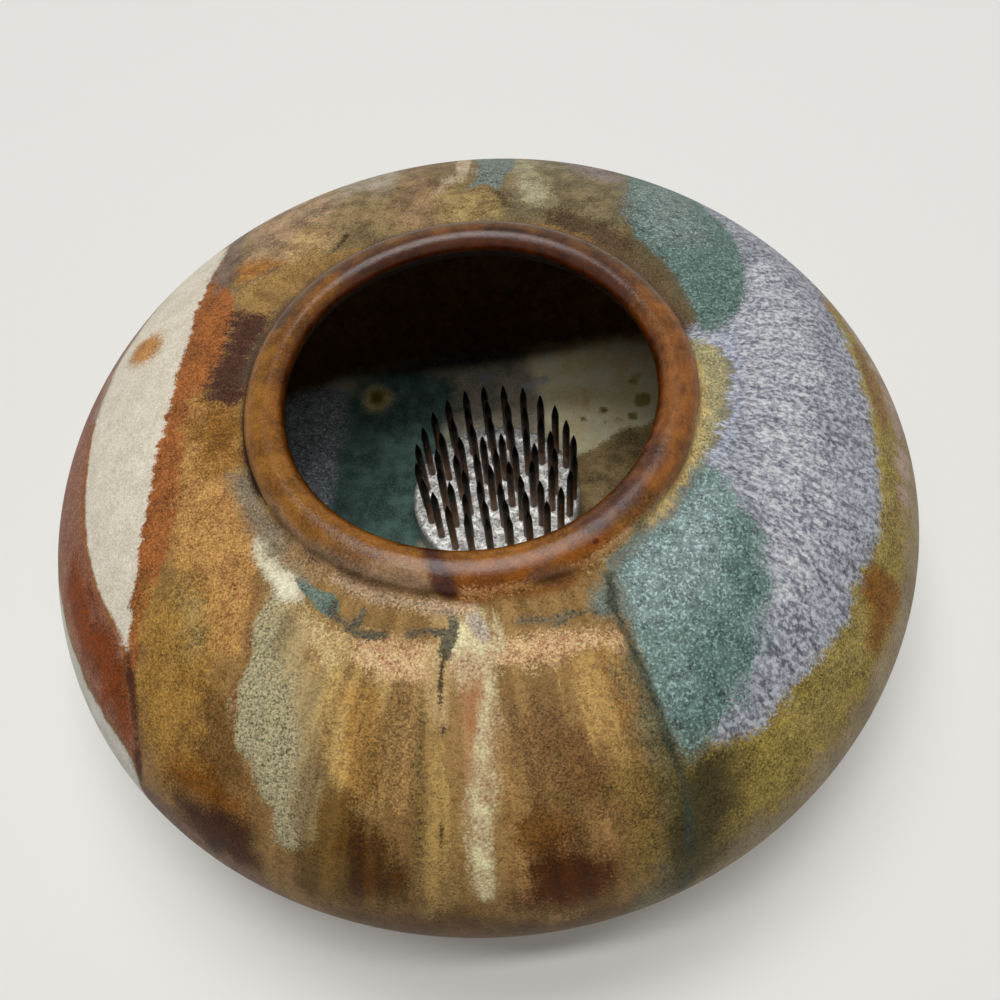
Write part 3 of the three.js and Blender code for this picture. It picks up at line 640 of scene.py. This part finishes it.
class Paint:
    """A node material, written as calls that give sockets."""

    def __init__(self, name):
        self.material = bpy.data.materials.new(name)
        self.material.use_nodes = True
        self.tree = self.material.node_tree
        self.shader = self.tree.nodes["Principled BSDF"]

    def node(self, kind, inputs, **settings):
        made = self.tree.nodes.new(kind)
        for name, value in settings.items():
            setattr(made, name, value)
        for key, value in inputs.items():
            self.feed(made.inputs[key], value)
        return made

    def feed(self, socket, value):
        if isinstance(value, bpy.types.NodeSocket):
            self.tree.links.new(value, socket)
        else:
            socket.default_value = value

    def set(self, **inputs):
        """Sets the shader's sockets, with _ for a space in a socket's name."""
        for name, value in inputs.items():
            self.feed(self.shader.inputs[name.replace("_", " ")], value)

    def number(self, name):
        return self.node("ShaderNodeAttribute", {}, attribute_name=name).outputs["Fac"]

    def vector(self, name):
        return self.node("ShaderNodeAttribute", {}, attribute_name=name).outputs["Vector"]

    def place(self):
        """The place on the piece, in millimetres."""
        coordinates = self.node("ShaderNodeTexCoord", {}).outputs["Object"]
        return self.stretch(coordinates, (1 / MM,) * 3)

    def stretch(self, vector, by):
        return self.node("ShaderNodeVectorMath", {0: vector, 1: by}, operation="MULTIPLY").outputs[0]

    def noise(self, vector, size, detail=2.0, roughness=0.5):
        settings = {"Vector": vector, "Scale": 1 / size, "Detail": detail, "Roughness": roughness}
        return self.node("ShaderNodeTexNoise", settings).outputs[0]

    def grit(self, vector, size):
        """A random number for each grain of one size."""
        cells = self.node("ShaderNodeTexVoronoi", {"Vector": vector, "Scale": 1 / size}).outputs["Color"]
        return self.node("ShaderNodeSeparateColor", {0: cells}).outputs[0]

    def maths(self, operation, *values):
        return self.node("ShaderNodeMath", dict(enumerate(values)), operation=operation).outputs[0]

    def blend_in(self, value, low, high, to_low=0.0, to_high=1.0):
        """A smooth step between two values of a number."""
        settings = {0: value, 1: low, 2: high, 3: to_low, 4: to_high}
        return self.node("ShaderNodeMapRange", settings, interpolation_type="SMOOTHSTEP").outputs[0]

    def mix(self, share, under, over):
        settings = {0: share, 6: under, 7: over}
        return self.node("ShaderNodeMix", settings, data_type="RGBA").outputs[2]

    def bump(self, height, distance, strength=1.0, onto=None):
        settings = {"Height": height, "Distance": distance, "Strength": strength}
        if onto is not None:
            settings["Normal"] = onto
        return self.node("ShaderNodeBump", settings).outputs[0]


class Glaze(Paint):
    """A glaze laid on in pours, each over the ones before it."""

    def __init__(self, name, flow_name):
        super().__init__(name)
        # Noises by their size in millimetres, then their detail and roughness
        place, flow = self.place(), self.vector(flow_name)
        self.fine = self.noise(place, 0.34, 3.0, 0.8)
        broad = self.blend_in(self.noise(place, 4.0, 3.0, 0.6), 0.3, 0.7)
        drawn = self.blend_in(self.noise(self.stretch(flow, (1, 1, 0.07)), 2.8, 2.0), 0.32, 0.68)
        around = self.blend_in(self.noise(self.stretch(flow, (0.2, 0.2, 1)), 0.8, 2.0, 0.6), 0.3, 0.7)
        runs = self.blend_in(self.noise(self.stretch(flow, (1, 1, 0.16)), 1.0, 2.0), 0.35, 0.65)
        dots = self.blend_in(self.noise(place, 0.45, 2.0, 0.65), 0.5, 0.66)
        soft = self.blend_in(self.noise(place, 1.6, 2.0), 0.25, 0.75)
        flakes = self.blend_in(self.noise(self.stretch(flow, (1, 1, 0.55)), 0.5, 3.0, 0.65), 0.4, 0.62)
        grit = self.grit(place, 0.3)
        speckle = self.between(self.blend_in(self.fine, 0.4, 0.6), grit, 0.45)
        self.grains = {
            "speckle": self.between(speckle, broad, 0.25),
            "cloud": self.between(broad, speckle, 0.55),
            "streak": self.between(drawn, speckle, 0.5),
            "smooth": self.between(self.between(broad, speckle, 0.4), around, 0.22),
            "stipple": self.between(self.blend_in(self.fine, 0.4, 0.56), grit, 0.5),
            "fleck": self.between(flakes, self.between(runs, grit, 0.4), 0.42),
            "frost": self.between(self.between(soft, dots, 0.68), grit, 0.24),
        }
        self.wander = self.maths("SUBTRACT", self.noise(place, 5.0, 1.0), 0.5)
        self.fray = self.maths("SUBTRACT", self.noise(place, 0.36, 2.0, 0.65), 0.5)
        self.run = self.maths("SUBTRACT", self.noise(self.stretch(flow, (1, 1, 0.12)), 1.3, 2.0), 0.5)
        self.peel = self.noise(place, 0.9, 3.0, 0.6)

    def between(self, first, second, share):
        """Part of one number and the rest of another."""
        return self.maths("MULTIPLY_ADD", second, share, self.maths("MULTIPLY", first, 1 - share))

    def pepper(self, colour):
        """Iron specks, closer together in some places than in others."""
        place = self.place()
        specks = self.maths("MULTIPLY_ADD", self.noise(place, 7.0, 2.0), 0.16, self.noise(place, 0.23, 1.0))
        return self.mix(self.blend_in(specks, 0.68, 0.76, 0.0, 0.55), colour, linear(54, 34, 14))

    def wrinkle_shade(self, colour):
        """The glaze's leathery skin, with painted shade in its hollows."""
        return self.mix(self.blend_in(self.peel, 0.34, 0.5, 0.34, 0.0), colour, linear(72, 50, 28))

    def mask(self, pour):
        """Where a pour shows: its depth, its edge shifted by the noises, then softened."""
        soft, *reaches = pour.edge
        depth = self.number("pour_" + pour.name)
        for shift, reach in zip((self.wander, self.fray, self.run), reaches):
            if reach:
                depth = self.maths("MULTIPLY_ADD", shift, EDGE_SHIFT * reach, depth)
        return self.blend_in(depth, -soft, soft)

    def ground(self, dark, light, grain):
        return self.mix(self.grains[grain], linear(*dark), linear(*light))

    def lay(self, colour, pours):
        for pour in pours:
            own = self.mix(self.grains[pour.grain], linear(*pour.dark), linear(*pour.light))
            colour = self.mix(self.mask(pour), colour, own)
        return colour


def outside_glaze(name, pours, roughness, specular, relief):
    """The outside's glaze with the pours that reach it: satin on the body, glossier and smoother on the lip."""
    glaze = Glaze(name, "flow")
    earth = glaze.lay(glaze.ground(*OUTSIDE_GROUND), [pour for pour in EARTH_POURS if pour.name in pours])
    clean = [pour for pour in CLEAN_POURS if pour.name in pours]
    glaze.set(
        Base_Color=glaze.lay(glaze.pepper(glaze.wrinkle_shade(earth)), clean),
        Roughness=roughness,
        Specular_IOR_Level=specular,
        Normal=glaze.bump(glaze.fine, 0.12 * MM, relief, onto=glaze.bump(glaze.peel, 0.2 * MM, relief)),
    )
    return glaze.material


def inside_glaze():
    glaze = Glaze("inside_glaze", "inside_flow")
    glaze.set(
        Base_Color=glaze.lay(glaze.ground(*INSIDE_GROUND), INSIDE_POURS),
        Roughness=0.5,
        Specular_IOR_Level=0.12,
        Normal=glaze.bump(glaze.peel, 0.1 * MM),
    )
    return glaze.material


def bare_clay():
    paint = Paint("bare_clay")
    place = paint.place()
    grit = paint.blend_in(paint.noise(place, 0.5, 3.0, 0.7), 0.35, 0.7)
    paint.set(
        Base_Color=paint.mix(grit, linear(126, 96, 68), linear(176, 146, 112)),
        Roughness=0.85,
        Normal=paint.bump(grit, 0.08 * MM),
    )
    return paint.material


def cast_lead():
    paint = Paint("cast_lead")
    place = paint.place()
    crinkle = paint.noise(place, 0.55, 4.0, 0.7)
    dull = paint.blend_in(paint.noise(place, 1.6, 3.0, 0.65), 0.42, 0.7)
    skin = paint.mix(dull, linear(240, 239, 235), linear(200, 198, 192))
    paint.set(
        # Painted shade: the crinkle's hollows are coloured a darker grey
        Base_Color=paint.mix(paint.blend_in(crinkle, 0.34, 0.6), linear(126, 125, 122), skin),
        Metallic=0.45,
        Roughness=paint.blend_in(dull, 0.0, 1.0, 0.42, 0.6),
        Normal=paint.bump(crinkle, 0.12 * MM),
    )
    return paint.material


def aged_brass():
    paint = Paint("aged_brass")
    place = paint.place()
    height = paint.number("pin_height")
    patina = paint.noise(paint.stretch(place, (1, 1, 0.35)), 0.9, 3.0, 0.6)
    worn = paint.maths("SUBTRACT", paint.maths("ADD", patina, 0.22), paint.maths("MULTIPLY", height, 0.5))
    paint.set(
        Base_Color=paint.mix(paint.blend_in(worn, 0.3, 0.72), linear(15, 9, 6), linear(118, 74, 26)),
        Metallic=0.85,
        Roughness=paint.blend_in(patina, 0.3, 0.7, 0.3, 0.5),
        Normal=paint.bump(patina, 0.05 * MM),
    )
    return paint.material


# Pieces

def make_vase():
    profile, first_glazed, narrowest = vase_profile()
    places, faces = turned(profile, VASE_SIDES)
    lengths = np.r_[0, np.cumsum(np.linalg.norm(np.diff(profile, axis=0), axis=1))]
    ring_of = np.r_[np.repeat(np.arange(1, len(profile) - 1), VASE_SIDES), 0, len(profile) - 1]
    turn = np.arctan2(places[:, 1], places[:, 0])
    way = np.stack([np.cos(turn), np.sin(turn)], axis=-1)
    from_mouth = MOUTH_RADIUS + lengths[narrowest] - lengths[ring_of]
    from_floor = lengths[-1] - lengths[ring_of]

    waver = sum(height * np.sin(times * turn + start) for times, height, start in WAVES)
    swell = np.clip((places[:, 2] - WAVER_START) / WAVER_RISE, 0, 1) * (np.hypot(*places.T[:2]) > STEADY_RADIUS)
    places[:, :2] += way * (waver * swell)[:, None]

    vase = new_piece("vase", places, faces, "vase")
    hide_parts("vase_body")
    mesh = vase.data
    outside_map, inside_map = way * from_mouth[:, None], way * from_floor[:, None]
    store(mesh, "flow", np.c_[FLOW_RADIUS * way, from_mouth])
    store(mesh, "inside_flow", np.c_[INSIDE_FLOW_RADIUS * way, from_floor])
    lip_start = np.argmax(MOUTH_RADIUS + lengths[narrowest] - lengths < LIP_REACH)
    on_lip = (ring_of >= lip_start) & (ring_of <= narrowest)
    lip_pours = set()
    for pour in OUTSIDE_POURS:
        depth = depth_in(pour.shape, outside_map)
        store(mesh, "pour_" + pour.name, depth)
        if depth[on_lip].max() > -EDGE_REACH:
            lip_pours.add(pour.name)
    for pour in INSIDE_POURS:
        store(mesh, "pour_" + pour.name, depth_in(pour.shape, inside_map))

    body_pours = {pour.name for pour in OUTSIDE_POURS}
    satin = outside_glaze("poured_glaze", body_pours, roughness=0.5, specular=0.09, relief=1.0)
    glossy = outside_glaze("lip_glaze", lip_pours, roughness=0.11, specular=0.3, relief=0.35)
    for material in (satin, inside_glaze(), bare_clay(), glossy):
        mesh.materials.append(material)
    on_body, on_inside, on_foot, on_rim = range(4)
    lowest_ring = np.array([ring_of[list(polygon.vertices)].min() for polygon in mesh.polygons])
    zones = [lowest_ring < first_glazed, lowest_ring < lip_start, lowest_ring < narrowest]
    slots = np.select(zones, [on_foot, on_body, on_rim], on_inside)
    mesh.polygons.foreach_set("material_index", slots.astype(np.int32))


def pin_places():
    """Each pin's name and the middle of its foot, in millimetres."""
    low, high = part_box("frog_base")
    middle = (low + high) / 2 / MM
    places = []
    for ring, (ring_name, start) in enumerate(zip(RING_NAMES, RING_TURNS)):
        count = max(1, 6 * ring)
        for number in range(count):
            angle = math.radians(start) + number / count * 2 * math.pi
            place = (middle.x + ring * RING_PITCH * math.cos(angle), middle.y + ring * RING_PITCH * math.sin(angle))
            places.append((f"{ring_name}_pin_{number + 1:02d}", np.array(place)))
    return places


def ridge(away, height, distance, width):
    """The height of a round ridge at each distance from its middle."""
    return height * np.exp(-(((away - distance) / width) ** 2))


def make_frog_base(places):
    """The poured disc, with the metal drawn up in a collar round each pin."""
    low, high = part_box("frog_base")
    middle = np.array([(low.x + high.x) / 2, (low.y + high.y) / 2]) / MM - (BASE_INSET, 0)
    radius, bottom, top = (high.x - low.x) / 2 / MM - BASE_INSET, low.z / MM, FROG_TOP
    shoulder, rim = (radius, top - BASE_ROUND), (radius - BASE_ROUND, top)
    side = along([
        np.array([(0, bottom), (radius - BASE_BEVEL, bottom), (radius, bottom + BASE_BEVEL), shoulder]),
        quarter(shoulder, (radius, top), rim, BASE_ROUND_STEPS),
    ])
    face = np.stack([np.linspace(rim[0], 0, FACE_RINGS), np.full(FACE_RINGS, top)], axis=-1)
    spots, faces = turned(along([side, face]), BASE_SIDES)
    on_face = spots[:, 2] > top - FACE_DEPTH
    shift = np.zeros(len(spots))
    for _, place in places:
        away = np.linalg.norm(spots[:, :2] + middle - place, axis=1)
        shift += ridge(away, *COLLAR) - ridge(away, *DIP)
    spots[:, 2] += np.where(on_face, shift, 0)
    spots[:, :2] += middle
    base = new_piece("frog_casting", spots, faces, "flower_frog")
    base.data.materials.append(cast_lead())
    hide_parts("frog_base")


def make_pins(places):
    """The sharpened pins, each leaning a little its own way."""
    material = aged_brass()
    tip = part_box("outer_pin_01")[1].z / MM
    start = FROG_TOP - PIN_SUNK
    length = tip - start
    shoulder = (PIN_RADIUS, length - PIN_POINT)
    leave, arrive = ((wide * PIN_RADIUS, length - down * PIN_POINT) for wide, down in POINT_HANDLES)
    point = bezier(shoulder, leave, arrive, (0.0, length), POINT_STEPS)
    shank = np.array([(0, 0), (PIN_RADIUS, 0), (PIN_RADIUS * PIN_WAIST, length / 3), shoulder])
    spots, faces = turned(along([shank, point]), PIN_SIDES)
    leans = np.random.default_rng(LEAN_SEED).normal(0, LEAN_SPREAD, (len(places), 2))
    for (name, place), lean in zip(places, np.clip(leans, -1, 1)):
        own = spots.copy()
        own[:, :2] += place + np.outer(own[:, 2], lean * PIN_LEAN)
        own[:, 2] += start
        pin = new_piece(name.replace("_pin_", "_spike_"), own, faces, "flower_frog")
        store(pin.data, "pin_height", spots[:, 2] / length)
        pin.data.materials.append(material)
        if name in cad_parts:
            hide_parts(name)


def make_floor():
    half = FLOOR_HALF
    mesh = bpy.data.meshes.new("floor")
    mesh.from_pydata([(-half, -half, 0), (half, -half, 0), (half, half, 0), (-half, half, 0)], [], [(0, 1, 2, 3)])
    floor = bpy.data.objects.new("floor", mesh)
    bpy.context.scene.collection.objects.link(floor)
    paint = Paint("pale_floor")
    paint.set(Base_Color=linear(228, 227, 223), Roughness=0.8)
    mesh.materials.append(paint.material)


def make_lights():
    for name, (size, place, power) in LAMPS.items():
        light = bpy.data.lights.new(name, "AREA")
        light.shape = "RECTANGLE"
        light.size, light.size_y = size
        light.energy = power
        lamp = bpy.data.objects.new(name, light)
        lamp.location = place
        bpy.context.scene.collection.objects.link(lamp)
    world = bpy.data.worlds.new("studio")
    world.use_nodes = True
    tree = world.node_tree
    rays = tree.nodes.new("ShaderNodeLightPath")
    seen = rays.outputs["Is Camera Ray"]
    for name in ("Is Glossy Ray", "Is Transmission Ray"):
        either = tree.nodes.new("ShaderNodeMath")
        either.operation = "MAXIMUM"
        tree.links.new(seen, either.inputs[0])
        tree.links.new(rays.outputs[name], either.inputs[1])
        seen = either.outputs[0]
    strength = tree.nodes.new("ShaderNodeMapRange")
    tree.links.new(seen, strength.inputs["Value"])
    strength.inputs["To Min"].default_value = FILL
    strength.inputs["To Max"].default_value = BACKDROP
    background = tree.nodes["Background"]
    background.inputs["Color"].default_value = WORLD_COLOUR
    tree.links.new(strength.outputs[0], background.inputs["Strength"])
    bpy.context.scene.world = world


def make_camera():
    ahead = Vector((0, math.cos(CAMERA_FALL), -math.sin(CAMERA_FALL)))
    up = Vector((0, math.sin(CAMERA_FALL), math.cos(CAMERA_FALL)))
    right = Vector((1, 0, 0))
    for angle, axis_name in ((CAMERA_PAN, "up"), (CAMERA_TILT, "right"), (CAMERA_ROLL, "ahead")):
        axis = {"up": up, "right": right, "ahead": ahead}[axis_name].copy()
        turn = Matrix.Rotation(angle, 3, axis)
        ahead, up, right = turn @ ahead, turn @ up, turn @ right
    data = bpy.data.cameras.new("camera")
    data.sensor_width = data.lens = CAMERA_LENS
    data.clip_start = CAMERA_NEAR
    camera = bpy.data.objects.new("camera", data)
    camera.matrix_world = Matrix((right, up, -ahead)).transposed().to_4x4()
    camera.location = CAMERA_PLACE
    bpy.context.scene.collection.objects.link(camera)
    bpy.context.scene.camera = camera


make_vase()
places = pin_places()
make_frog_base(places)
make_pins(places)
make_floor()
make_lights()
make_camera()
bpy.context.scene.view_settings.view_transform = "Standard"
